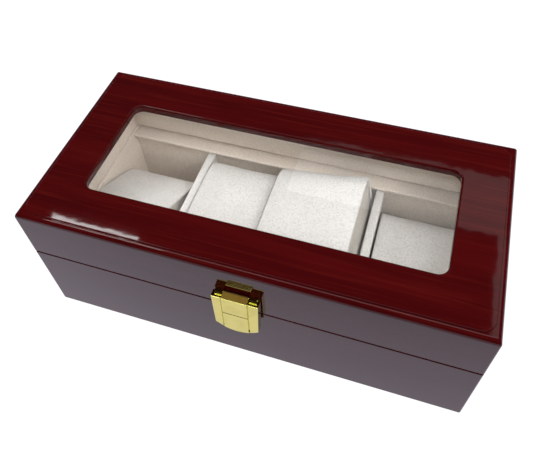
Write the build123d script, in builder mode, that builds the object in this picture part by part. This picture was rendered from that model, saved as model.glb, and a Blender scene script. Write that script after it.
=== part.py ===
from build123d import *
import math
import os

# A wooden watch box with a glass window in its lid, four compartments with a watch pillow in each,
# two hinges at the back and a hanging latch at the front.
# Millimetres. X runs along the front, Y from front to back, Z up. The origin is the centre of the
# rectangle that the walls stand on.

os.makedirs("parts", exist_ok=True)

# ---- box ----
box_length = 240.0
box_depth = 116.0
box_height = 87.6
wall = 10.0
outer_corner_radius = 1.0
half_length = box_length / 2
half_depth = box_depth / 2
inner_half_length = half_length - wall
inner_half_depth = half_depth - wall

# ---- joint between base and lid ----
base_height = 52.85
joint_gap = 0.7
lid_bottom = base_height + joint_gap
eased_edge = 0.6

# ---- lid top panel ----
panel_thickness = 4.4
panel_bottom = box_height - panel_thickness
plateau_rise = 0.6
plateau_inset = 3.2
plateau_corner_radius = 7.0
plateau_edge_radius = 0.4
shoulder_height = box_height - plateau_rise
shoulder_radius = 2.6
window_length = 188.0
window_depth = 63.6
window_corner_radius = 5.5
window_edge_radius = 1.1

# ---- glass and lid linings ----
glass_thickness = 2.0
glass_clearance = 0.4
glass_bottom = panel_bottom - glass_thickness
lid_lining_thickness = 2.5
lid_lining_bottom = lid_bottom + 0.4
lining_edge_radius = 0.6

# ---- base floor ----
felt_thickness = 1.0
bottom_panel_thickness = 3.0
floor_board_thickness = 2.0
bottom_panel_bottom = felt_thickness
floor_board_bottom = bottom_panel_bottom + bottom_panel_thickness
floor_top = floor_board_bottom + floor_board_thickness

# ---- base linings, partitions and ledges ----
side_lining_thickness = 3.5
side_lining_top = 52.6
ledge_half_opening = 37.5
compartment_half_depth = 40.5
partition_thickness = 2.5
ledge_thickness = 2.5
ledge_top = 52.0
divider_thickness = 5.0
divider_top = 48.0
divider_spacing = 53.5
board_edge_radius = 0.8

# ---- hinges ----
hinge_offset = 75.0
hinge_length = 30.0
hinge_leaf_thickness = 1.0
hinge_leaf_front = 49.5
hinge_leaf_back = half_depth - 0.1
knuckle_count = 5
knuckle_gap = 0.2
knuckle_radius = 2.1
hinge_axis_y = half_depth + 2.2
hinge_axis_z = base_height + joint_gap / 2
hinge_pin_radius = 0.9
hinge_running_clearance = 0.05
pin_head_radius = 1.5
pin_head_length = 0.6

# ---- countersunk hinge screws ----
screw_spacing = 18.0
screw_y = 53.4
screw_head_radius = 1.9
screw_shank_radius = 1.0
screw_head_depth = 0.9
screw_length = 7.0
screw_tip_length = 1.5
screw_slot_width = 0.5
screw_slot_depth = 0.35

# ---- latch ----
latch_plate_thickness = 1.0
latch_pin_standoff = 1.5
latch_pin_z = 69.0
latch_pin_radius = 0.45
latch_pin_half_length = 11.0
latch_knuckle_radius = 1.1
latch_knuckle_outer = 10.9
strap_half_width = 6.6
knuckle_side_gap = 0.2
lid_plate_half_width = 9.0
lid_plate_bottom = 57.0
lid_plate_notch = 67.4
ear_depth = 2.6
ear_bottom = 67.9
ear_top = 69.8
ear_overlap = 2.0

flap_standoff = 5.1
flap_top = 68.2
flap_lean = 3.6
flap_top_half_width = 12.2
flap_bottom_half_width = 11.6
flap_side_length = 23.8
flap_bottom_sag = 4.3
flap_depth = 4.2
flap_thickness = 0.9
flap_edge_radius = 0.6
wing_top_depth = 2.2
strap_rise = 0.4
strap_border = 0.7
strap_standoff = 5.52
strap_inner_bend = (3.3, 67.4)
strap_root = flap_top - 0.6
strap_top = 69.1
strap_corner_radius = 0.4
groove_width = 0.6
groove_depth = 0.6
groove_drop = 25.1
cross_groove_drop = 12.0

catch_half_width = 7.0
catch_bottom = 42.5
catch_top = 51.5
catch_corner_radius = 1.5
catch_lip_bottom = 49.0
catch_lip_thickness = 1.0
catch_lip_reach = 3.6
catch_lip_half_width = 3.5
hook_clearance = 0.4
hook_thickness = 1.0
hook_half_width = 3.0
hook_inner_reach = 2.4
hook_root = 5.7

nail_head_radius = 1.3
nail_head_height = 0.5
nail_shank_radius = 0.55
nail_length = 8.0
lid_nail_spacing = 9.0
lid_nail_z = 60.5
catch_nail_spacing = 9.6
catch_nail_z = 45.6

# ---- watch pillows ----
pillow_length = 62.0
pillow_thickness = 36.0
pillow_radius = 11.0
pillow_end_radius = 2.2
pillow_floor_gap = 0.3
tipped_centre = (-82.4, -5.0, 32.25)
tipped_width = 46.0
tipped_thickness = 34.0
tipped_pitch = 28.4
level_centre = (-28.7, 5.3, 33.5)
level_width = 42.6
leaning_centre = (22.9, 5.9, 45.3)
leaning_width = 52.5
leaning_roll = 10.0
leaning_clear_left = 3.2
leaning_clear_right = 50.4
leaning_clear_height = divider_top + 0.9
low_centre = (80.75, 2.4, floor_top + pillow_floor_gap + pillow_thickness / 2)
low_width = 47.5


def save(piece, node):
    """Label a finished piece and write it to its own file."""
    piece.part.label = node
    export_step(piece.part, f"parts/{node}.step")


def front_point(standoff, z):
    """Y and Z of a point that stands off the front face."""
    return (-half_depth - standoff, z)


# ---------------------------------------------------------------- wooden walls

def mitre_sector(side):
    """Plan of the quarter of the box that one mitred wall fills, from corner to corner."""
    reach = wall
    out_x, out_y = half_length + reach, half_depth + reach
    in_x, in_y = inner_half_length - reach / 2, inner_half_depth - reach / 2
    return {
        "front": [(-out_x, -out_y), (out_x, -out_y), (in_x, -in_y), (-in_x, -in_y)],
        "back": [(-out_x, out_y), (-in_x, in_y), (in_x, in_y), (out_x, out_y)],
        "left": [(-out_x, -out_y), (-in_x, -in_y), (-in_x, in_y), (-out_x, out_y)],
        "right": [(out_x, -out_y), (out_x, out_y), (in_x, in_y), (in_x, -in_y)],
    }[side]


def mitred_wall(side, bottom, top, eased_ends, fittings):
    """One wall, mitred at both ends. Its bottom (0) or top (-1) edges are eased, and fittings let in."""
    with BuildPart() as piece:
        with BuildSketch(Plane.XY.offset(bottom)):
            RectangleRounded(box_length, box_depth, outer_corner_radius)
        extrude(amount=top - bottom)
        for end in eased_ends:
            fillet(piece.faces().filter_by(Axis.Z).sort_by(Axis.Z)[end].edges(), eased_edge)
        with BuildSketch(Plane.XY.offset(bottom)):
            Rectangle(2 * inner_half_length, 2 * inner_half_depth)
        extrude(amount=top - bottom, mode=Mode.SUBTRACT)
        with BuildSketch(Plane.XY.offset(bottom)):
            with BuildLine():
                Polyline(*mitre_sector(side), close=True)
            make_face()
        extrude(amount=top - bottom, mode=Mode.INTERSECT)
        for fitting in fittings:
            add(fitting.part, mode=Mode.SUBTRACT)
    return piece


# ---------------------------------------------------------------- hinges

def knuckle_starts(first):
    """X of the start of every second knuckle, counted from the hinge's left end."""
    pitch = hinge_length / knuckle_count
    return [-hinge_length / 2 + index * pitch + knuckle_gap / 2 for index in range(first, knuckle_count, 2)]


def hinge_leaf(hinge_x, bottom, first_knuckle, bore_radius):
    """A flat leaf in the joint with rolled knuckles behind the box."""
    knuckle_length = hinge_length / knuckle_count - knuckle_gap
    leaf_reach = hinge_leaf_back - hinge_leaf_front
    tongue_reach = hinge_axis_y - hinge_leaf_back
    with BuildPart() as leaf:
        with BuildSketch(Plane.XY.offset(bottom)):
            with Locations((hinge_x, hinge_leaf_front + leaf_reach / 2)):
                Rectangle(hinge_length, leaf_reach)
        extrude(amount=hinge_leaf_thickness)
        for start in knuckle_starts(first_knuckle):
            with BuildSketch(Plane.YZ.offset(hinge_x + start)):
                with Locations((hinge_axis_y, hinge_axis_z)):
                    Circle(knuckle_radius)
                with Locations((hinge_leaf_back + tongue_reach / 2, bottom + hinge_leaf_thickness / 2)):
                    Rectangle(tongue_reach, hinge_leaf_thickness)
                with Locations((hinge_axis_y, hinge_axis_z)):
                    Circle(bore_radius, mode=Mode.SUBTRACT)
            extrude(amount=knuckle_length)
    return leaf


def hinge_pin(hinge_x):
    """The pin, with a low head at each end."""
    with BuildPart() as pin:
        with BuildSketch(Plane.YZ.offset(hinge_x - hinge_length / 2)):
            with Locations((hinge_axis_y, hinge_axis_z)):
                Circle(hinge_pin_radius)
        extrude(amount=hinge_length)
        for head_start in (-hinge_length / 2 - pin_head_length, hinge_length / 2):
            with BuildSketch(Plane.YZ.offset(hinge_x + head_start)):
                with Locations((hinge_axis_y, hinge_axis_z)):
                    Circle(pin_head_radius)
            extrude(amount=pin_head_length)
    return pin


def screw_places():
    """Plan positions of the hinge screws, two in each leaf."""
    return [
        (hinge_x + offset, screw_y)
        for hinge_x in (-hinge_offset, hinge_offset)
        for offset in (-screw_spacing / 2, screw_spacing / 2)
    ]


def hinge_screws(head_z, direction):
    """Countersunk slotted screws. Direction is -1 when they point down and 1 when they point up."""
    shank_end = screw_length - screw_tip_length
    with BuildPart() as screws:
        for x, y in screw_places():
            with BuildSketch(Plane(origin=(x, y, head_z), x_dir=(1, 0, 0), z_dir=(0, -1, 0))):
                with BuildLine():
                    Polyline(
                        (0, 0),
                        (screw_head_radius, 0),
                        (screw_shank_radius, direction * screw_head_depth),
                        (screw_shank_radius, direction * shank_end),
                        (0, direction * screw_length),
                        close=True,
                    )
                make_face()
            revolve(axis=Axis((x, y, head_z), (0, 0, 1)))
            with Locations((x, y, head_z)):
                Box(2 * screw_head_radius, screw_slot_width, 2 * screw_slot_depth, mode=Mode.SUBTRACT)
    return screws


hinges = {"left": -hinge_offset, "right": hinge_offset}
base_leaves = {}
lid_leaves = {}
for hinge_side, hinge_place in hinges.items():
    base_leaf = hinge_leaf(hinge_place, base_height - hinge_leaf_thickness, 0, hinge_pin_radius)
    lid_leaf = hinge_leaf(hinge_place, lid_bottom, 1, hinge_pin_radius + hinge_running_clearance)
    base_leaves[hinge_side] = base_leaf
    lid_leaves[hinge_side] = lid_leaf

base_hinge_screws = hinge_screws(base_height, -1)
lid_hinge_screws = hinge_screws(lid_bottom, 1)
save(base_hinge_screws, "base_hinge_screws")
save(lid_hinge_screws, "lid_hinge_screws")

for hinge_side, hinge_place in hinges.items():
    with BuildPart() as drilled_base_leaf:
        add(base_leaves[hinge_side].part)
        add(base_hinge_screws.part, mode=Mode.SUBTRACT)
    save(drilled_base_leaf, f"hinge_{hinge_side}_base_leaf")
    with BuildPart() as drilled_lid_leaf:
        add(lid_leaves[hinge_side].part)
        add(lid_hinge_screws.part, mode=Mode.SUBTRACT)
    save(drilled_lid_leaf, f"hinge_{hinge_side}_lid_leaf")
    save(hinge_pin(hinge_place), f"hinge_{hinge_side}_pin")


# ---------------------------------------------------------------- latch nails and plates

def front_nails(spacing, z, head_back):
    """Two round-headed nails driven into the front, their heads against a plate."""
    with BuildPart() as nails:
        for x in (-spacing / 2, spacing / 2):
            with BuildSketch(Plane(origin=(x, -half_depth - head_back, z), x_dir=(1, 0, 0), z_dir=(0, 0, 1))):
                with BuildLine():
                    Polyline(
                        (0, -nail_head_height),
                        (nail_head_radius / 2, -nail_head_height),
                        (nail_head_radius, 0),
                        (nail_shank_radius, 0),
                        (nail_shank_radius, nail_length - 2 * nail_shank_radius),
                        (0, nail_length),
                        close=True,
                    )
                make_face()
            revolve(axis=Axis((x, -half_depth - head_back, z), (0, 1, 0)))
    return nails


latch_plate_nails = front_nails(lid_nail_spacing, lid_nail_z, latch_plate_thickness)
catch_nails = front_nails(catch_nail_spacing, catch_nail_z, latch_plate_thickness)
save(latch_plate_nails, "latch_plate_nails")
save(catch_nails, "catch_nails")

with BuildPart() as latch_lid_plate:
    with BuildSketch(Plane.XZ.offset(half_depth)):
        plate_height = lid_plate_notch - lid_plate_bottom
        with Locations((0, lid_plate_bottom + plate_height / 2)):
            RectangleRounded(2 * lid_plate_half_width, plate_height, catch_corner_radius)
        for x in (-1, 1):
            ear_inner = strap_half_width + knuckle_side_gap
            ear_width = lid_plate_half_width - ear_inner
            ear_root = lid_plate_notch - ear_overlap
            with Locations((x * (ear_inner + ear_width / 2), (ear_root + ear_top) / 2)):
                Rectangle(ear_width, ear_top - ear_root)
    extrude(amount=latch_plate_thickness)
    for start in (-latch_knuckle_outer, strap_half_width + knuckle_side_gap):
        with BuildSketch(Plane.YZ.offset(start)):
            with Locations(front_point(ear_depth / 2, (ear_bottom + ear_top) / 2)):
                Rectangle(ear_depth, ear_top - ear_bottom)
            with Locations(front_point(latch_pin_standoff, latch_pin_z)):
                Circle(latch_pin_radius, mode=Mode.SUBTRACT)
        extrude(amount=latch_knuckle_outer - strap_half_width - knuckle_side_gap)
    add(latch_plate_nails.part, mode=Mode.SUBTRACT)
save(latch_lid_plate, "latch_lid_plate")

with BuildPart() as latch_pin:
    with BuildSketch(Plane.YZ.offset(-latch_pin_half_length)):
        with Locations(front_point(latch_pin_standoff, latch_pin_z)):
            Circle(latch_pin_radius)
    extrude(amount=2 * latch_pin_half_length)
save(latch_pin, "latch_pin")

with BuildPart() as latch_catch:
    with BuildSketch(Plane.XZ.offset(half_depth)):
        with Locations((0, (catch_bottom + catch_top) / 2)):
            RectangleRounded(2 * catch_half_width, catch_top - catch_bottom, catch_corner_radius)
    extrude(amount=latch_plate_thickness)
    with BuildSketch(Plane.XY.offset(catch_lip_bottom)):
        with Locations((0, -half_depth - catch_lip_reach / 2)):
            Rectangle(2 * catch_lip_half_width, catch_lip_reach)
    extrude(amount=catch_lip_thickness)
    add(catch_nails.part, mode=Mode.SUBTRACT)
save(latch_catch, "latch_catch")


# ---------------------------------------------------------------- latch flap

lean = math.radians(flap_lean)
flap_plane = Plane(
    origin=(0, -half_depth - flap_standoff, flap_top),
    x_dir=(1, 0, 0),
    z_dir=(0, -math.cos(lean), math.sin(lean)),
)


def shield_outline(inset, top_extra):
    """Shield with slightly narrowing sides and a bowed bottom, drawn in the flap's own plane."""
    top_half = flap_top_half_width - inset
    bottom_half = flap_bottom_half_width - inset
    side_end = -flap_side_length + inset
    with BuildSketch() as outline:
        with BuildLine():
            Polyline(
                (-bottom_half, side_end),
                (-top_half, top_extra),
                (top_half, top_extra),
                (bottom_half, side_end),
            )
            ThreePointArc((bottom_half, side_end), (0, side_end - flap_bottom_sag), (-bottom_half, side_end))
        make_face()
    return outline.sketch


with BuildPart() as latch_flap:
    # the shell: a face with side and bottom walls and a shallow top in front of the ears, open behind
    with BuildSketch(flap_plane):
        add(shield_outline(0, 0))
    extrude(amount=-flap_depth)
    front_face = latch_flap.faces().sort_by(Axis(flap_plane.origin, flap_plane.z_dir))[-1]
    fillet(front_face.edges(), flap_edge_radius)
    with BuildSketch(flap_plane.offset(-flap_thickness)):
        add(shield_outline(flap_thickness, flap_depth))
        with Locations((0, (flap_depth - flap_thickness) / 2)):
            Rectangle(2 * flap_top_half_width, flap_depth + flap_thickness, mode=Mode.SUBTRACT)
    extrude(amount=-flap_depth, mode=Mode.SUBTRACT)
    with BuildSketch(flap_plane.offset(-wing_top_depth)):
        add(shield_outline(flap_thickness, flap_depth))
    extrude(amount=-flap_depth, mode=Mode.SUBTRACT)
    # the raised centre strap
    with BuildSketch(flap_plane):
        add(shield_outline(strap_border, 0))
        Rectangle(2 * strap_half_width, 3 * flap_side_length, mode=Mode.INTERSECT)
    extrude(amount=strap_rise)
    # the grooves beside the strap and across it
    groove_top = flap_plane.offset(strap_rise)
    with BuildSketch(groove_top):
        groove_x = strap_half_width + groove_width / 2
        for x in (-groove_x, groove_x):
            with Locations((x, -groove_drop / 2)):
                Rectangle(groove_width, groove_drop + 2 * flap_edge_radius)
    extrude(amount=-(strap_rise + groove_depth), mode=Mode.SUBTRACT)
    with BuildSketch(groove_top):
        with Locations((0, -cross_groove_drop)):
            Rectangle(2 * strap_half_width, groove_width)
    extrude(amount=-groove_depth, mode=Mode.SUBTRACT)
    # the strap's flat top, rolled round the pin at its back
    with BuildSketch(Plane.YZ.offset(-strap_half_width)):
        with BuildLine():
            Polyline(
                front_point(latch_pin_standoff, latch_pin_z + latch_knuckle_radius),
                front_point(latch_pin_standoff, latch_pin_z),
                front_point(*strap_inner_bend),
                front_point(flap_standoff - flap_thickness, strap_root),
                front_point(strap_standoff, strap_root),
                front_point(strap_standoff, strap_top - strap_corner_radius),
            )
            RadiusArc(
                front_point(strap_standoff, strap_top - strap_corner_radius),
                front_point(strap_standoff - strap_corner_radius, strap_top),
                -strap_corner_radius,
            )
            Line(
                front_point(strap_standoff - strap_corner_radius, strap_top),
                front_point(latch_pin_standoff, latch_pin_z + latch_knuckle_radius),
            )
        make_face()
        with Locations(front_point(latch_pin_standoff, latch_pin_z)):
            Circle(latch_knuckle_radius)
            Circle(latch_pin_radius + hinge_running_clearance, mode=Mode.SUBTRACT)
    extrude(amount=2 * strap_half_width)
    # the hook that sits under the catch's lip
    hook_top = catch_lip_bottom - hook_clearance
    with BuildSketch(Plane.XY.offset(hook_top - hook_thickness)):
        with Locations((0, -half_depth - (hook_inner_reach + hook_root) / 2)):
            Rectangle(2 * hook_half_width, hook_root - hook_inner_reach)
    extrude(amount=hook_thickness)
save(latch_flap, "latch_flap")


# ---------------------------------------------------------------- walls

wall_fittings = {
    "base": {
        "front": [catch_nails],
        "back": [base_leaves["left"], base_leaves["right"], base_hinge_screws],
        "left": [],
        "right": [],
    },
    "lid": {
        "front": [latch_plate_nails],
        "back": [lid_leaves["left"], lid_leaves["right"], lid_hinge_screws],
        "left": [],
        "right": [],
    },
}
wall_spans = {"base": (0.0, base_height, (0, -1)), "lid": (lid_bottom, panel_bottom, (0,))}
for half, (wall_bottom, wall_top, eased_ends) in wall_spans.items():
    for side in ("front", "back", "left", "right"):
        side_wall = mitred_wall(side, wall_bottom, wall_top, eased_ends, wall_fittings[half][side])
        save(side_wall, f"{half}_{side}_wall")


# ---------------------------------------------------------------- lid top panel and glass

with BuildPart() as lid_top_frame:
    with BuildSketch(Plane.XY.offset(panel_bottom)):
        RectangleRounded(box_length, box_depth, outer_corner_radius)
    extrude(amount=shoulder_height - panel_bottom)
    fillet(lid_top_frame.faces().sort_by(Axis.Z)[-1].edges(), shoulder_radius)
    with BuildSketch(Plane.XY.offset(shoulder_height)):
        RectangleRounded(box_length - 2 * plateau_inset, box_depth - 2 * plateau_inset, plateau_corner_radius)
    extrude(amount=plateau_rise)
    fillet(lid_top_frame.faces().sort_by(Axis.Z)[-1].edges(), plateau_edge_radius)
    with BuildSketch(Plane.XY.offset(panel_bottom)):
        RectangleRounded(window_length, window_depth, window_corner_radius)
    extrude(amount=panel_thickness, mode=Mode.SUBTRACT)
    window_edge = lid_top_frame.faces().sort_by(Axis.Z)[-1].inner_wires().edges()
    fillet(window_edge, window_edge_radius)
save(lid_top_frame, "lid_top_frame")

with BuildPart() as window_glass:
    with BuildSketch(Plane.XY.offset(glass_bottom)):
        Rectangle(2 * (inner_half_length - glass_clearance), 2 * (inner_half_depth - glass_clearance))
    extrude(amount=glass_thickness)
save(window_glass, "window_glass")


# ---------------------------------------------------------------- fabric-covered boards

def board(low, high, radius):
    """A fabric-covered board between two corners, with softened edges."""
    with BuildPart() as piece:
        with Locations(tuple((a + b) / 2 for a, b in zip(low, high))):
            Box(*[b - a for a, b in zip(low, high)])
        fillet(piece.edges(), radius)
    return piece


def mirrored_boards(low, high, radius, near_node, far_node, axis):
    """The same board twice, on the positive side and mirrored to the negative side of one axis."""
    save(board(low, high, radius), far_node)
    mirrored_low = list(low)
    mirrored_high = list(high)
    mirrored_low[axis] = -high[axis]
    mirrored_high[axis] = -low[axis]
    save(board(mirrored_low, mirrored_high, radius), near_node)


lid_lining_side = inner_half_length - lid_lining_thickness
lid_lining_back = inner_half_depth - lid_lining_thickness
mirrored_boards(
    (-inner_half_length, lid_lining_back, lid_lining_bottom),
    (inner_half_length, inner_half_depth, glass_bottom),
    lining_edge_radius,
    "lid_front_lining",
    "lid_back_lining",
    axis=1,
)
mirrored_boards(
    (lid_lining_side, -lid_lining_back, lid_lining_bottom),
    (inner_half_length, lid_lining_back, glass_bottom),
    lining_edge_radius,
    "lid_left_lining",
    "lid_right_lining",
    axis=0,
)
base_lining_side = inner_half_length - side_lining_thickness
mirrored_boards(
    (base_lining_side, -inner_half_depth, floor_top),
    (inner_half_length, inner_half_depth, side_lining_top),
    board_edge_radius,
    "side_lining_left",
    "side_lining_right",
    axis=0,
)
mirrored_boards(
    (-base_lining_side, compartment_half_depth, floor_top),
    (base_lining_side, compartment_half_depth + partition_thickness, ledge_top - ledge_thickness),
    board_edge_radius,
    "front_partition",
    "back_partition",
    axis=1,
)
mirrored_boards(
    (-base_lining_side, ledge_half_opening, ledge_top - ledge_thickness),
    (base_lining_side, inner_half_depth, ledge_top),
    board_edge_radius,
    "front_ledge",
    "back_ledge",
    axis=1,
)

divider_places = {"left": -divider_spacing, "centre": 0.0, "right": divider_spacing}
for place, x in divider_places.items():
    divider = board(
        (x - divider_thickness / 2, -compartment_half_depth, floor_top),
        (x + divider_thickness / 2, compartment_half_depth, divider_top),
        board_edge_radius,
    )
    save(divider, f"divider_{place}")


# ---------------------------------------------------------------- bottom

def inner_sheet(bottom, thickness):
    """A flat sheet that fills the base between its walls."""
    with BuildPart() as piece:
        with BuildSketch(Plane.XY.offset(bottom)):
            Rectangle(2 * inner_half_length, 2 * inner_half_depth)
        extrude(amount=thickness)
    return piece


save(inner_sheet(0, felt_thickness), "base_felt_sheet")
save(inner_sheet(bottom_panel_bottom, bottom_panel_thickness), "base_bottom_panel")
save(inner_sheet(floor_board_bottom, floor_board_thickness), "floor_lining")


# ---------------------------------------------------------------- watch pillows

def pillow(centre, width, thickness, pitch=0.0, roll=0.0):
    """A padded block. Pitch lowers its back, roll raises its right end, both in degrees."""
    tip = math.radians(pitch)
    side = math.radians(roll)
    plane = Plane(
        origin=centre,
        x_dir=(0, math.cos(tip), -math.sin(tip)),
        z_dir=(math.cos(side), 0, math.sin(side)),
    )
    with BuildPart() as piece:
        with BuildSketch(plane):
            RectangleRounded(pillow_length, thickness, pillow_radius)
        extrude(amount=width / 2, both=True)
        end_faces = piece.faces().sort_by(Axis(centre, plane.z_dir))
        fillet(end_faces[0].edges() + end_faces[-1].edges(), pillow_end_radius)
    return piece


pillow_1 = pillow(tipped_centre, tipped_width, tipped_thickness, pitch=tipped_pitch)
save(pillow_1, "pillow_1")

pillow_2 = pillow(level_centre, level_width, pillow_thickness)
save(pillow_2, "pillow_2")

# the third pillow leans over the centre divider, and its lower part is squeezed between the dividers
with BuildPart() as pillow_3:
    add(pillow(leaning_centre, leaning_width, pillow_thickness, roll=leaning_roll).part)
    with BuildSketch(Plane.XZ):
        with Locations((leaning_clear_left - box_height / 2, leaning_clear_height - box_height / 2)):
            Rectangle(box_height, box_height)
        with Locations((leaning_clear_right + box_height / 2, 0)):
            Rectangle(box_height, 2 * box_height)
    extrude(amount=half_depth, both=True, mode=Mode.SUBTRACT)
save(pillow_3, "pillow_3")

pillow_4 = pillow(low_centre, low_width, pillow_thickness)
save(pillow_4, "pillow_4")
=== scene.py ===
import math

import bpy
import numpy as np
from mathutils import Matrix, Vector


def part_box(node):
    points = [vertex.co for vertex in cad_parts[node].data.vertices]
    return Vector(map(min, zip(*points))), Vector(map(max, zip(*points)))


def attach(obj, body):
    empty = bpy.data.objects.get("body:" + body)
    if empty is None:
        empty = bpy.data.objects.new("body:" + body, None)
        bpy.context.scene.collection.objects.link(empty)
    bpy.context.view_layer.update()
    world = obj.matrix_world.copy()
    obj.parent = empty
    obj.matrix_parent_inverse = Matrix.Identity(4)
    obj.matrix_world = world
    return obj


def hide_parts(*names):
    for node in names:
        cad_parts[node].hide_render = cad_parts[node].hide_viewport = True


# The looks of the watch box: lacquered wood, brass, glass, fabric-covered boards and four watch pillows.
# Metres. X runs along the front, Y from front to back, Z up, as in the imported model.

MM = 0.001

# ---- camera ----
CAMERA_PLACE = (0.067166, -0.183173, 0.326479)
CAMERA_ANGLES = (39.7676, 2.1474, 17.7324)
CAMERA_LENS = 38.566
CAMERA_SHIFT = (0.010914, -0.116849)
CAMERA_CLIP = 0.01

# ---- stage ----
FLOOR_SIZE = 8.0
FLOOR_COLOUR = (0.12, 0.12, 0.12)
FLOOR_GLOW = 1.0
FLOOR_GLOW_COLOUR = (0.92, 0.84, 0.99)
WHITE = (1.0, 1.0, 1.0)
SKY_STRENGTH = 0.045
BACKDROP_STRENGTH = 1.2
BOX_MIDDLE = (0, 0, 0.05)
WARM_LIGHT = (1.0, 0.55, 0.30)

# ---- fabric-covered boards ----
BOARD_EDGE = 0.9 * MM
BOARD_SPACING = 3.0 * MM
BOARD_EDGE_STEPS = 3
BOARD_UNEVENNESS = 0.06 * MM
BOARD_WAVELENGTH = 14 * MM
BOARD_SEED = 100
JOINT_CLEARANCE = 0.05 * MM

# ---- pillows ----
PILLOW_SEED = 200
RING_COUNT = 96
RING_SAMPLES = 4000
SECTION_POWER = 5.2
WRAP_INSET = 0.4 * MM
WRAP_SPACING = 2.2 * MM
WRAP_UNEVENNESS = 0.22 * MM
WRAP_WAVELENGTH = 26 * MM
GATHER_HEIGHT = 0.28 * MM
GATHER_WAVES = 5
GATHER_TIGHTEST = 44
GATHER_FADE = 0.55
RIM_RADIUS = 1.0 * MM
RIM_STEPS = 6
RECESS_DEPTH = 3.0 * MM
HIDDEN_RINGS = (0.9, 0.4)
PANEL_GAP = 0.3 * MM
PANEL_ROUND = 0.9 * MM
PANEL_DROP = 1.2 * MM
PANEL_CROWN = 0.5 * MM
PANEL_EDGE_STEPS = 4
PANEL_RINGS = 12
LEAN_LEFT_CLEARANCE = 0.7 * MM
LEAN_RIGHT_CLEARANCE = 0.6 * MM
LEAN_TOP_CLEARANCE = 0.9 * MM
SQUEEZE_BLEND = 0.8 * MM

# ---- cloth simulation of the pillows ----
CLOTH_SCALE = 10.0
CLOTH_FRAMES = 20
CLOTH_QUALITY = 6
CLOTH_PRESSURE = 4.0
CLOTH_STRETCH_STIFFNESS = 30
CLOTH_SHEAR_STIFFNESS = 12
CLOTH_BENDING_STIFFNESS = 2
WRAP_SWELL = 1.6 * MM
PANEL_SWELL = 0.5 * MM

# ---- gentle height fields ----
WAVE_COUNT = 6
WAVE_SPREAD = (0.7, 1.5)
WAVE_DIVISOR = 3

# ---- colours, as linear red, green and blue ----
WOOD_DARK, WOOD_LIGHT = (0.066, 0.0016, 0.0026), (0.096, 0.0028, 0.0035)
WOOD_STREAK, WOOD_PORE = (0.122, 0.0066, 0.0050), (0.048, 0.0011, 0.0016)
GOLD, GOLD_SHADE = (0.63, 0.60, 0.165), (0.55, 0.52, 0.13)
BRASS, BRASS_SHADE = (0.66, 0.48, 0.22), (0.52, 0.36, 0.15)
LINING, LINING_SHADE = (0.89, 0.79, 0.69), (0.84, 0.74, 0.64)
DIVIDER, DIVIDER_SHADE = (0.87, 0.85, 0.82), (0.82, 0.80, 0.77)
PILLOW, PILLOW_SHADE = (0.80, 0.78, 0.75), (0.75, 0.73, 0.70)
# Pillow end panels: the pillow fabric made darker and warmer, which is painted shade on the ends that face
# sideways.
PILLOW_END_PAINTED_SHADE, PILLOW_END_PAINTED_SHADE_DARKER = (0.68, 0.64, 0.58), (0.63, 0.59, 0.53)
SPECK_SHARE = 0.88
FELT_DARK, FELT_LIGHT, FELT_FIBRE = (0.020, 0.018, 0.018), (0.034, 0.031, 0.030), (0.060, 0.056, 0.054)
BOARD_DARK, BOARD_LIGHT, BOARD_FLECK = (0.30, 0.19, 0.105), (0.36, 0.235, 0.135), (0.16, 0.092, 0.048)


# ---------------------------------------------------------------- materials

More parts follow.
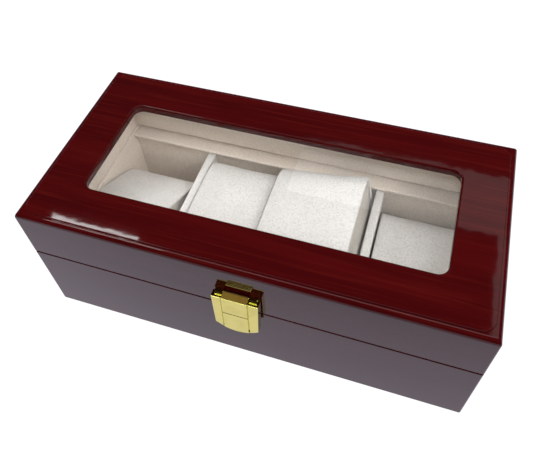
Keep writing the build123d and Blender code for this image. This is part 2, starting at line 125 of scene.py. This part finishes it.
class Surface:
    """A node material built up step by step. Textures are solid, placed by the object's own coordinates."""

    def __init__(self, name):
        self.material = bpy.data.materials.new(name)
        self.material.use_nodes = True
        self.nodes = self.material.node_tree.nodes
        self.links = self.material.node_tree.links
        self.shader = self.nodes["Principled BSDF"]
        self.place = self.nodes.new("ShaderNodeTexCoord").outputs["Object"]

    def set(self, **sockets):
        """Put constant values on the shader's own sockets."""
        for name, value in sockets.items():
            self.shader.inputs[name.replace("_", " ")].default_value = value

    def drive(self, socket, source):
        self.links.new(source, self.shader.inputs[socket])

    def stretched(self, scale):
        """Texture space scaled by different amounts along X, Y and Z, in cells per metre."""
        mapping = self.nodes.new("ShaderNodeMapping")
        mapping.inputs["Scale"].default_value = scale
        self.links.new(self.place, mapping.inputs["Vector"])
        return mapping.outputs["Vector"]

    def noise(self, space, detail=3.0, roughness=0.5, distortion=0.0):
        texture = self.nodes.new("ShaderNodeTexNoise")
        texture.inputs["Scale"].default_value = 1.0
        texture.inputs["Detail"].default_value = detail
        texture.inputs["Roughness"].default_value = roughness
        texture.inputs["Distortion"].default_value = distortion
        self.links.new(space, texture.inputs["Vector"])
        return texture.outputs["Fac"]

    def cells(self, space):
        """Distance from the nearest of a scatter of points."""
        texture = self.nodes.new("ShaderNodeTexVoronoi")
        texture.inputs["Scale"].default_value = 1.0
        self.links.new(space, texture.inputs["Vector"])
        return texture.outputs["Distance"]

    def span(self, source, low, high, out_low=0.0, out_high=1.0):
        """Rescale a value smoothly from one range to another."""
        remap = self.nodes.new("ShaderNodeMapRange")
        remap.interpolation_type = "SMOOTHSTEP"
        remap.inputs["From Min"].default_value = low
        remap.inputs["From Max"].default_value = high
        remap.inputs["To Min"].default_value = out_low
        remap.inputs["To Max"].default_value = out_high
        self.links.new(source, remap.inputs["Value"])
        return remap.outputs["Result"]

    def math(self, operation, first, second):
        """Combine two values. Either may be a number."""
        node = self.nodes.new("ShaderNodeMath")
        node.operation = operation
        for socket, value in zip(node.inputs, (first, second)):
            if isinstance(value, (int, float)):
                socket.default_value = value
            else:
                self.links.new(value, socket)
        return node.outputs["Value"]

    def blend(self, factor, first, second):
        """Mix two colours. Either may be a colour or the result of another blend."""
        node = self.nodes.new("ShaderNodeMix")
        node.data_type = "RGBA"
        self.links.new(factor, node.inputs["Factor"])
        for socket, value in ((node.inputs[6], first), (node.inputs[7], second)):
            if isinstance(value, tuple):
                socket.default_value = (*value, 1.0)
            else:
                self.links.new(value, socket)
        return node.outputs[2]

    def bump(self, height, distance, socket="Normal"):
        """Raise the surface by a height field, distance metres from 0 to 1."""
        node = self.nodes.new("ShaderNodeBump")
        node.inputs["Distance"].default_value = distance
        self.links.new(height, node.inputs["Height"])
        self.links.new(node.outputs["Normal"], self.shader.inputs[socket])


def along(axis, length_scale, width_scale):
    """Texture scale for streaks that run along one axis."""
    return tuple(length_scale if index == axis else width_scale for index in range(3))


def lacquer(name, grain_axis):
    """Dark red veneer under a thick gloss lacquer. The grain runs along one axis."""
    wood = Surface(name)
    figure = wood.noise(wood.stretched(along(grain_axis, 7, 90)), detail=4, distortion=0.6)
    streaks = wood.noise(wood.stretched(along(grain_axis, 16, 620)), detail=5, roughness=0.6)
    pores = wood.noise(wood.stretched(along(grain_axis, 60, 2200)), detail=2)
    tone = wood.blend(wood.span(figure, 0.3, 0.7), WOOD_DARK, WOOD_LIGHT)
    tone = wood.blend(wood.span(streaks, 0.48, 0.80), tone, WOOD_STREAK)
    tone = wood.blend(wood.span(pores, 0.62, 0.84), tone, WOOD_PORE)
    wood.drive("Base Color", tone)
    wood.drive("Roughness", wood.span(streaks, 0.3, 0.7, 0.38, 0.52))
    wood.set(Specular_IOR_Level=0.0, Coat_Weight=1.0, Coat_Roughness=0.035, Coat_IOR=1.355)
    wood.bump(pores, 0.00002)
    ripple = wood.noise(wood.stretched((55, 55, 55)), detail=2)
    wood.bump(ripple, 0.00005, socket="Coat Normal")
    return wood.material


def polished_metal(name, colour, shade, roughness, brushed):
    """Plated brass. Fine rubbing marks, and a little tarnish in patches."""
    metal = Surface(name)
    patches = metal.noise(metal.stretched((140, 140, 140)), detail=2)
    marks = metal.noise(metal.stretched((500, 3800, 3800)), detail=3, roughness=0.6)
    metal.drive("Base Color", metal.blend(metal.span(patches, 0.4, 0.8), colour, shade))
    metal.drive("Roughness", metal.span(marks, 0.3, 0.75, roughness, roughness + brushed))
    metal.set(Metallic=1.0)
    metal.bump(marks, 0.000004)
    return metal.material


def fabric(name, colour, shade, grain, relief):
    """Matt suede-like cloth: a fine nap of short fibres and faint cloudy patches."""
    cloth = Surface(name)
    nap = cloth.noise(cloth.stretched((grain, grain, grain)), detail=3, roughness=0.6)
    pebble = cloth.cells(cloth.stretched((grain * 0.8, grain * 0.8, grain * 0.8)))
    cloud = cloth.noise(cloth.stretched((70, 70, 70)), detail=3)
    tone = cloth.blend(cloth.span(cloud, 0.3, 0.75), colour, shade)
    speck = tuple(value * SPECK_SHARE for value in shade)
    tone = cloth.blend(cloth.span(nap, 0.44, 0.66), tone, speck)
    cloth.drive("Base Color", tone)
    cloth.drive("Roughness", cloth.span(nap, 0.3, 0.7, 0.82, 0.95))
    cloth.set(Specular_IOR_Level=0.2, Sheen_Weight=0.25, Sheen_Roughness=0.5)
    height = cloth.math("ADD", cloth.math("MULTIPLY", pebble, 0.6), nap)
    cloth.bump(height, relief)
    return cloth.material


def window_pane(name):
    """Clear flat glass, very slightly wavy."""
    glass = Surface(name)
    glass.set(Base_Color=(*WHITE, 1.0), Transmission_Weight=1.0, IOR=1.45)
    film = glass.noise(glass.stretched((28, 28, 28)), detail=3)
    glass.drive("Roughness", glass.span(film, 0.45, 0.8, 0.0, 0.03))
    glass.bump(glass.noise(glass.stretched((9, 9, 9)), detail=1), 0.00004)
    return glass.material


def felt_sheet(name):
    """Dark pressed felt under the box."""
    felt = Surface(name)
    fibres = felt.noise(felt.stretched((1500, 1500, 1500)), detail=5, roughness=0.7)
    mats = felt.noise(felt.stretched((160, 160, 160)), detail=3)
    tone = felt.blend(felt.span(mats, 0.3, 0.7), FELT_DARK, FELT_LIGHT)
    felt.drive("Base Color", felt.blend(felt.span(fibres, 0.55, 0.75), tone, FELT_FIBRE))
    felt.set(Roughness=0.95, Specular_IOR_Level=0.15, Sheen_Weight=0.4)
    felt.bump(fibres, 0.0002)
    return felt.material


def raw_board(name):
    """Unfinished fibre board with short flecks."""
    board = Surface(name)
    flecks = board.noise(board.stretched((420, 900, 900)), detail=4, roughness=0.65)
    cloud = board.noise(board.stretched((40, 40, 40)), detail=2)
    tone = board.blend(board.span(cloud, 0.3, 0.7), BOARD_DARK, BOARD_LIGHT)
    board.drive("Base Color", board.blend(board.span(flecks, 0.55, 0.72), tone, BOARD_FLECK))
    board.set(Roughness=0.75)
    board.bump(flecks, 0.00006)
    return board.material


def stage_floor(name):
    """Pale plain floor that glows violet in reflections. Seen directly or through glass, it is white."""
    floor = Surface(name)
    floor.set(Base_Color=(*FLOOR_COLOUR, 1.0), Roughness=0.9, Specular_IOR_Level=0.0)
    rays = floor.nodes.new("ShaderNodeLightPath")
    seen = floor.math("MAXIMUM", rays.outputs["Is Camera Ray"], rays.outputs["Is Transmission Ray"])
    glow = floor.blend(seen, FLOOR_GLOW_COLOUR, WHITE)
    floor.drive("Emission Color", glow)
    floor.set(Emission_Strength=FLOOR_GLOW)
    return floor.material


# ---------------------------------------------------------------- shared mesh helpers

def smooth_piece(name, points, faces, material):
    """A smooth-shaded mesh object from points and faces."""
    mesh = bpy.data.meshes.new(name)
    mesh.from_pydata([tuple(point) for point in points], [], [tuple(face) for face in faces])
    mesh.validate()
    mesh.shade_smooth()
    mesh.materials.append(material)
    piece = bpy.data.objects.new(name, mesh)
    bpy.context.scene.collection.objects.link(piece)
    return piece


def unevenness(points, seed, wavelength):
    """A gentle, seeded height field between about -1 and 1 over points in space."""
    random = np.random.default_rng(seed)
    total = np.zeros(len(points))
    for _ in range(WAVE_COUNT):
        direction = random.normal(size=3)
        direction /= np.linalg.norm(direction)
        length = wavelength * random.uniform(*WAVE_SPREAD)
        total += np.sin(points @ direction * (2 * math.pi / length) + random.uniform(0, 2 * math.pi))
    return total / WAVE_DIVISOR


def mesh_points(mesh):
    flat = np.zeros(len(mesh.vertices) * 3)
    mesh.vertices.foreach_get("co", flat)
    return flat.reshape(-1, 3)


# ---------------------------------------------------------------- fabric-covered boards

def edge_stops(half):
    """Places along one axis of a board: even over the flat, close together round its edges."""
    flat = half - BOARD_EDGE
    count = max(2, math.ceil(2 * flat / BOARD_SPACING))
    steps = [math.tan(math.radians(45 * step / BOARD_EDGE_STEPS)) for step in range(1, BOARD_EDGE_STEPS + 1)]
    rounded = [flat + BOARD_EDGE * step for step in steps]
    return [-stop for stop in reversed(rounded)] + list(np.linspace(-flat, flat, count)) + rounded


def block_shell(stops):
    """Points and outward quads of the surface of a block divided at the given stops along each axis."""
    index = {}
    points = []
    quads = []
    for axis in range(3):
        first, second = (axis + 1) % 3, (axis + 2) % 3
        for end in (0, len(stops[axis]) - 1):
            for i in range(len(stops[first]) - 1):
                for j in range(len(stops[second]) - 1):
                    quad = []
                    for step_i, step_j in ((0, 0), (1, 0), (1, 1), (0, 1)):
                        place = [0, 0, 0]
                        place[axis] = end
                        place[first] = i + step_i
                        place[second] = j + step_j
                        place = tuple(place)
                        if place not in index:
                            index[place] = len(points)
                            points.append([stops[k][place[k]] for k in range(3)])
                        quad.append(index[place])
                    quads.append(quad if end else quad[::-1])
    return np.array(points), quads


def covered_board(node, seed, material, reach=0.0):
    """A thin board wrapped in fabric: softly rounded edges and a surface that isn't quite flat.

    Its fabric may reach a little way down past the board.
    """
    low, high = (np.array(corner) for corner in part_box(node))
    low[2] -= reach
    half = (high - low) / 2
    points, quads = block_shell([edge_stops(extent) for extent in half])
    core = np.clip(points, -(half - BOARD_EDGE), half - BOARD_EDGE)
    outward = points - core
    outward /= np.linalg.norm(outward, axis=1)[:, None]
    points = core + outward * BOARD_EDGE
    sunk = BOARD_UNEVENNESS * (unevenness(points, seed, BOARD_WAVELENGTH) - 1)
    points = points + outward * sunk[:, None] + (low + high) / 2
    return smooth_piece(f"{node}_fabric", points, quads, material)


# ---------------------------------------------------------------- watch pillows

def pillow_axes(pitch, roll):
    """Unit vectors along the pillow, through its thickness and across its width."""
    tip, side = math.radians(pitch), math.radians(roll)
    length_way = np.array([0, math.cos(tip), -math.sin(tip)])
    width_way = np.array([math.cos(side), 0, math.sin(side)])
    return length_way, np.cross(width_way, length_way), width_way


def pillow_extent(node, axes):
    """Centre and half sizes of a CAD pillow, measured along its own axes."""
    points = mesh_points(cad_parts[node].data)
    spans = [points @ axis for axis in axes]
    centre = sum((span.min() + span.max()) / 2 * axis for span, axis in zip(spans, axes))
    return centre, np.array([(span.max() - span.min()) / 2 for span in spans])


def section_ring(half_length, half_thickness):
    """Even points round the wrap's section, a soft rounded rectangle, with outward normals."""
    angles = np.linspace(0, 2 * math.pi, RING_SAMPLES, endpoint=False)
    bulge = 2 / SECTION_POWER
    dense = np.stack([
        half_length * np.sign(np.cos(angles)) * np.abs(np.cos(angles)) ** bulge,
        half_thickness * np.sign(np.sin(angles)) * np.abs(np.sin(angles)) ** bulge,
    ], axis=1)
    closed = np.vstack([dense, dense[:1]])
    travelled = np.concatenate([[0], np.cumsum(np.linalg.norm(np.diff(closed, axis=0), axis=1))])
    stops = np.linspace(0, travelled[-1], RING_COUNT, endpoint=False)
    ring = np.stack([np.interp(stops, travelled, closed[:, k]) for k in range(2)], axis=1)
    tangent = np.roll(ring, -1, axis=0) - np.roll(ring, 1, axis=0)
    normal = np.stack([tangent[:, 1], -tangent[:, 0]], axis=1)
    return ring, normal / np.linalg.norm(normal, axis=1)[:, None]


def seam_pattern(seed):
    """Small gathers round a seam: a few seeded waves that close on themselves over the ring."""
    random = np.random.default_rng(seed)
    turn = np.arange(RING_COUNT) / RING_COUNT * 2 * math.pi
    pattern = np.zeros(RING_COUNT)
    for waves in random.integers(GATHER_TIGHTEST // 2, GATHER_TIGHTEST, size=GATHER_WAVES):
        pattern += np.sin(waves * turn + random.uniform(0, 2 * math.pi)) * random.uniform(0.5, 1.0)
    return pattern / WAVE_DIVISOR


def ring_stack(levels):
    """Points and faces of a closed form through rings of points, fanned shut at both ends."""
    count = len(levels)
    points = np.vstack([*levels, levels[0].mean(axis=0)[None], levels[-1].mean(axis=0)[None]])
    faces = []
    for k in range(RING_COUNT):
        after = (k + 1) % RING_COUNT
        for level in range(count - 1):
            start, end = level * RING_COUNT, (level + 1) * RING_COUNT
            faces.append((start + k, start + after, end + after, end + k))
        faces.append((count * RING_COUNT, after, k))
        last = (count - 1) * RING_COUNT
        faces.append((count * RING_COUNT + 1, last + k, last + after))
    return points, faces


def wrap_levels(ring, normal, half_width):
    """Rings of the wrap from one end's recess, over its rim, along the body and over to the other end."""
    rim_centre = half_width - RIM_RADIUS
    recess = half_width - RECESS_DEPTH
    inner = ring - normal * 2 * RIM_RADIUS
    right = []
    body_count = max(4, math.ceil(rim_centre / WRAP_SPACING))
    for step in range(body_count + 1):
        right.append((ring, rim_centre * step / body_count))
    for step in range(1, RIM_STEPS + 1):
        angle = math.pi * step / RIM_STEPS
        inset = RIM_RADIUS * (1 - math.cos(angle))
        right.append((ring - normal * inset, rim_centre + RIM_RADIUS * math.sin(angle)))
    right.append((inner, (rim_centre + recess) / 2))
    right.append((inner, recess))
    right.extend((inner * share, recess) for share in HIDDEN_RINGS)
    left = [(outline, -place) for outline, place in reversed(right[1:])]
    return left + right, body_count


def panel_levels(ring, normal, half_width, side):
    """Rings of an end panel from its hidden back, round its edge and over its crowned face."""
    outline = ring - normal * (2 * RIM_RADIUS + PANEL_GAP)
    back = half_width - RECESS_DEPTH + PANEL_GAP
    edge = half_width - PANEL_DROP - PANEL_ROUND
    levels = [(outline * share, back) for share in reversed(HIDDEN_RINGS)]
    levels += [(outline, back), (outline, edge)]
    for step in range(1, PANEL_EDGE_STEPS + 1):
        angle = math.radians(90 * step / PANEL_EDGE_STEPS)
        inset = PANEL_ROUND * (1 - math.cos(angle))
        levels.append((outline - normal * inset, edge + PANEL_ROUND * math.sin(angle)))
    face = outline - normal * PANEL_ROUND
    for step in range(1, PANEL_RINGS):
        share = 1 - step / PANEL_RINGS
        levels.append((face * share, half_width - PANEL_DROP + PANEL_CROWN * (1 - share ** 2)))
    return [(shape, side * place) for shape, place in levels]


def in_space(levels, centre, axes):
    """Rings given as outlines and places across the width, as points in space."""
    length_way, thickness_way, width_way = axes
    return [
        centre + outline[:, :1] * length_way + outline[:, 1:] * thickness_way + place * width_way
        for outline, place in levels
    ]


def inflate(pads):
    """Cloth simulation: air pressure swells each pad between its held seams, up to a limit."""
    scene = bpy.context.scene
    rest = {}
    for pad, held, _ in pads:
        rest[pad.name] = mesh_points(pad.data)
        pad.data.vertices.foreach_set("co", (rest[pad.name] * CLOTH_SCALE).ravel())
        pad.data.update()
        seams = pad.vertex_groups.new(name="seams")
        seams.add(held, 1.0, "REPLACE")
        cloth = pad.modifiers.new("cloth", "CLOTH")
        cloth.point_cache.frame_start = 1
        cloth.point_cache.frame_end = CLOTH_FRAMES
        cloth.collision_settings.use_collision = False
        settings = cloth.settings
        settings.quality = CLOTH_QUALITY
        settings.use_pressure = True
        settings.uniform_pressure_force = CLOTH_PRESSURE
        settings.vertex_group_mass = seams.name
        settings.tension_stiffness = CLOTH_STRETCH_STIFFNESS
        settings.compression_stiffness = CLOTH_STRETCH_STIFFNESS
        settings.shear_stiffness = CLOTH_SHEAR_STIFFNESS
        settings.bending_stiffness = CLOTH_BENDING_STIFFNESS
        settings.effector_weights.gravity = 0
    for step in range(1, CLOTH_FRAMES + 1):
        scene.frame_set(step)
    graph = bpy.context.evaluated_depsgraph_get()
    solved = {pad.name: mesh_points(pad.evaluated_get(graph).data) / CLOTH_SCALE for pad, _, _ in pads}
    for pad, _, swell in pads:
        pad.modifiers.clear()
        pad.vertex_groups.clear()
        moved = solved[pad.name] - rest[pad.name]
        reach = np.maximum(np.linalg.norm(moved, axis=1), 1e-9)[:, None]
        moved *= np.tanh(reach / swell) * swell / reach
        pad.data.vertices.foreach_set("co", (rest[pad.name] + moved).ravel())
        pad.data.update()
    scene.frame_set(1)


def squeezed(points, limits):
    """Keep a pillow between its neighbours: the left one's side and top, and the right one's side."""
    left, height, right = limits
    below = np.clip((height - points[:, 2]) / SQUEEZE_BLEND, 0, 1)
    pushed = np.maximum(points[:, 0], left)
    points[:, 0] += (pushed - points[:, 0]) * below
    points[:, 0] = np.minimum(points[:, 0], right)
    return points


def watch_pillow(node, seed, material, painted_shade_end_material, pitch=0.0, roll=0.0):
    """A foam block wrapped in fabric, with an inset panel at each end. Returns the pads to be swollen."""
    axes = pillow_axes(pitch, roll)
    centre, half = pillow_extent(node, axes)
    ring, normal = section_ring(half[0] - WRAP_INSET, half[1] - WRAP_INSET)
    levels, body_count = wrap_levels(ring, normal, half[2])
    places = in_space(levels, centre, axes)
    middle = (len(levels) - 1) // 2
    outward = np.stack([normal @ np.stack(axes[:2])] * len(levels))
    for level, points in enumerate(places):
        from_rim = body_count - abs(level - middle)
        if from_rim < 0:
            continue
        fade = math.exp(-from_rim * GATHER_FADE)
        gathers = seam_pattern(seed + (level > middle)) * fade * GATHER_HEIGHT
        waves = unevenness(points, seed, WRAP_WAVELENGTH) * WRAP_UNEVENNESS * (1 - fade)
        places[level] = points + outward[level] * (gathers + waves)[:, None]
    points, faces = ring_stack(places)
    wrap = smooth_piece(f"{node}_wrap", points, faces, material)
    held = [
        level * RING_COUNT + k
        for level in range(len(levels))
        if abs(level - middle) >= body_count
        for k in range(RING_COUNT)
    ]
    pads = [(wrap, held + [len(points) - 2, len(points) - 1], WRAP_SWELL)]
    held_rings = len(HIDDEN_RINGS) + 2 + PANEL_EDGE_STEPS
    for side, word in ((-1, "left"), (1, "right")):
        panel_shape = panel_levels(ring, normal, half[2], side)
        if side < 0:
            panel_shape = panel_shape[::-1]
        points, faces = ring_stack(in_space(panel_shape, centre, axes))
        # The end panels get the darker end cloth passed in: painted shade.
        panel = smooth_piece(f"{node}_{word}_end", points, faces, painted_shade_end_material)
        first_held = 0 if side > 0 else len(panel_shape) - held_rings
        edge_levels = range(first_held, first_held + held_rings)
        held = [level * RING_COUNT + k for level in edge_levels for k in range(RING_COUNT)]
        held.append(len(points) - 2 if side > 0 else len(points) - 1)
        pads.append((panel, held, PANEL_SWELL))
    return pads


# ---------------------------------------------------------------- the object

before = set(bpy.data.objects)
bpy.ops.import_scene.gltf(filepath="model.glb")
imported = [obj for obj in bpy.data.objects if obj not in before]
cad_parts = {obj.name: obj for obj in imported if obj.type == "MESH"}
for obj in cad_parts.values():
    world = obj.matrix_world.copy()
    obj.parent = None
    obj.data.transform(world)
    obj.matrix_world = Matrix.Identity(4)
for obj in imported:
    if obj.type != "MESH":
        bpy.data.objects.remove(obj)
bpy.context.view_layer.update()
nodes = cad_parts

lacquer_across = lacquer("lacquer_grain_across", 0)
lacquer_deep = lacquer("lacquer_grain_deep", 1)
gold = polished_metal("latch_gold", GOLD, GOLD_SHADE, 0.08, 0.05)
brass = polished_metal("hinge_brass", BRASS, BRASS_SHADE, 0.24, 0.22)
lining_cloth = fabric("lining_cloth", LINING, LINING_SHADE, 1100, 0.00005)
divider_cloth = fabric("divider_cloth", DIVIDER, DIVIDER_SHADE, 1100, 0.00005)
pillow_cloth = fabric("pillow_cloth", PILLOW, PILLOW_SHADE, 950, 0.00011)
# The end panels' cloth is a darker copy of the pillow cloth: painted shade.
painted_shade_end_cloth = fabric("pillow_end_painted_shade_cloth", PILLOW_END_PAINTED_SHADE, PILLOW_END_PAINTED_SHADE_DARKER, 850, 0.00010)
glass = window_pane("window_pane")

node_materials = {
    lacquer_across: ["base_front_wall", "base_back_wall", "lid_front_wall", "lid_back_wall", "lid_top_frame"],
    lacquer_deep: ["base_left_wall", "base_right_wall", "lid_left_wall", "lid_right_wall"],
    gold: ["latch_lid_plate", "latch_plate_nails", "latch_pin", "latch_flap", "latch_catch", "catch_nails"],
    brass: [name for name in nodes if name.startswith("hinge_") or name.endswith("_screws")],
    glass: ["window_glass"],
    felt_sheet("pressed_felt"): ["base_felt_sheet"],
    raw_board("raw_board"): ["base_bottom_panel"],
}
for material, names in node_materials.items():
    for name in names:
        mesh = nodes[name].data
        mesh.materials.clear()
        mesh.materials.append(material)
nodes["window_glass"].visible_shadow = False

lid_boards = ["lid_front_lining", "lid_back_lining", "lid_left_lining", "lid_right_lining"]
base_boards = [
    "side_lining_left", "side_lining_right", "front_partition", "back_partition", "front_ledge", "back_ledge",
    "divider_left", "divider_centre", "divider_right", "floor_lining",
]
# the lid's fabric reaches down through the joint's gap, so that the gap doesn't open into the box
joint_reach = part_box("lid_front_lining")[0].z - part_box("base_front_wall")[1].z - JOINT_CLEARANCE
for body, board_nodes, reach in (("lid", lid_boards, joint_reach), ("base", base_boards, 0.0)):
    for node in board_nodes:
        seed = BOARD_SEED + (lid_boards + base_boards).index(node)
        cloth = divider_cloth if node.startswith("divider_") else lining_cloth
        board = covered_board(node, seed, cloth, reach)
        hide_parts(node)
        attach(board, body)

pillow_tilts = {
    "pillow_1": {"pitch": 28.4},
    "pillow_2": {},
    "pillow_3": {"roll": 10.0},
    "pillow_4": {},
}
pillow_pads = {
    node: watch_pillow(node, PILLOW_SEED + 10 * index, pillow_cloth, painted_shade_end_cloth, **tilt)
    for index, (node, tilt) in enumerate(pillow_tilts.items())
}
inflate([pad for pads in pillow_pads.values() for pad in pads])

_, divider_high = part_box("divider_centre")
right_divider_low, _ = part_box("divider_right")
leaning_limits = (
    divider_high.x + LEAN_LEFT_CLEARANCE,
    divider_high.z + LEAN_TOP_CLEARANCE,
    right_divider_low.x - LEAN_RIGHT_CLEARANCE,
)
for piece, _, _ in pillow_pads["pillow_3"]:
    piece.data.vertices.foreach_set("co", squeezed(mesh_points(piece.data), leaning_limits).ravel())
    piece.data.update()

for node, pads in pillow_pads.items():
    for piece, _, _ in pads:
        finer = piece.modifiers.new("finer", "SUBSURF")
        finer.levels = 1
        finer.render_levels = 1
        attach(piece, f"{node}_body")
    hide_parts(node)

# ---------------------------------------------------------------- stage, lights and camera

half_floor = FLOOR_SIZE / 2
floor_corners = [(x * half_floor, y * half_floor, 0) for x, y in ((-1, -1), (1, -1), (1, 1), (-1, 1))]
floor = smooth_piece("stage_floor", floor_corners, [(0, 1, 2, 3)], stage_floor("stage_floor"))
floor.visible_diffuse = False


def soft_light(name, place, size, power, target=None, mirrored=True):
    """A square or oblong soft box that faces a target, or straight down. Reflections may leave it out."""
    target = target or (place[0], place[1], 0)
    lamp = bpy.data.lights.new(name, "AREA")
    lamp.shape = "RECTANGLE"
    lamp.size, lamp.size_y = size
    lamp.energy = power
    light = bpy.data.objects.new(name, lamp)
    light.location = place
    light.rotation_euler = (Vector(target) - Vector(place)).to_track_quat("-Z", "Y").to_euler()
    light.visible_glossy = mirrored
    bpy.context.scene.collection.objects.link(light)
    return light


soft_light("key_light", (-0.05, -0.50, 1.05), (1.10, 0.60), 3.2, target=BOX_MIDDLE, mirrored=False)
soft_light("top_light", (-0.12, 0.27, 1.19), (1.20, 0.30), 2.4)
soft_light("fill_light", (-0.12, 0.20, 1.25), (1.10, 0.46), 1.0, mirrored=False)
soft_light("right_light", (0.75, -0.30, 0.90), (0.40, 0.40), 3.7, target=BOX_MIDDLE, mirrored=False)
soft_light("left_light", (-0.62, 0.02, 1.19), (0.25, 0.30), 1.9, target=BOX_MIDDLE)
soft_light("back_panel", (0.05, 0.93, 1.19), (0.62, 0.21), 0.38)
soft_light("right_panel", (0.585, 0.60, 1.19), (0.51, 0.60), 1.05)
soft_light("streak_light", (-0.730, 0.542, 1.19), (0.27, 0.012), 0.19)

# two soft boxes that light only the latch: a bright one for its edges and a warm dim one for its top
latch_pieces = bpy.data.collections.new("latch_pieces")
for name in node_materials[gold]:
    latch_pieces.objects.link(nodes[name])
edge_gleam = soft_light("edge_gleam", (-0.10, -0.86, 0.86), (1.20, 0.45), 9.0, target=BOX_MIDDLE)
top_gleam = soft_light("top_gleam", (-0.27, -0.14, 1.19), (0.50, 0.30), 0.11)
top_gleam.data.color = WARM_LIGHT
for gleam in (edge_gleam, top_gleam):
    gleam.light_linking.receiver_collection = latch_pieces

world = bpy.data.worlds.new("studio")
world.use_nodes = True
bpy.context.scene.world = world
sky = world.node_tree.nodes["Background"]
sky.inputs["Color"].default_value = (*WHITE, 1.0)
sky.inputs["Strength"].default_value = SKY_STRENGTH
backdrop = world.node_tree.nodes.new("ShaderNodeBackground")
backdrop.inputs["Strength"].default_value = BACKDROP_STRENGTH
rays = world.node_tree.nodes.new("ShaderNodeLightPath")
chooser = world.node_tree.nodes.new("ShaderNodeMixShader")
for source, target in (
    (rays.outputs["Is Camera Ray"], chooser.inputs[0]),
    (sky.outputs[0], chooser.inputs[1]),
    (backdrop.outputs[0], chooser.inputs[2]),
    (chooser.outputs[0], world.node_tree.nodes["World Output"].inputs["Surface"]),
):
    world.node_tree.links.new(source, target)

lens = bpy.data.cameras.new("camera")
lens.lens = CAMERA_LENS
lens.shift_x, lens.shift_y = CAMERA_SHIFT
lens.clip_start = CAMERA_CLIP
camera = bpy.data.objects.new("camera", lens)
camera.location = CAMERA_PLACE
camera.rotation_euler = [math.radians(angle) for angle in CAMERA_ANGLES]
bpy.context.scene.collection.objects.link(camera)
bpy.context.scene.camera = camera
bpy.context.scene.view_settings.view_transform = "Standard"
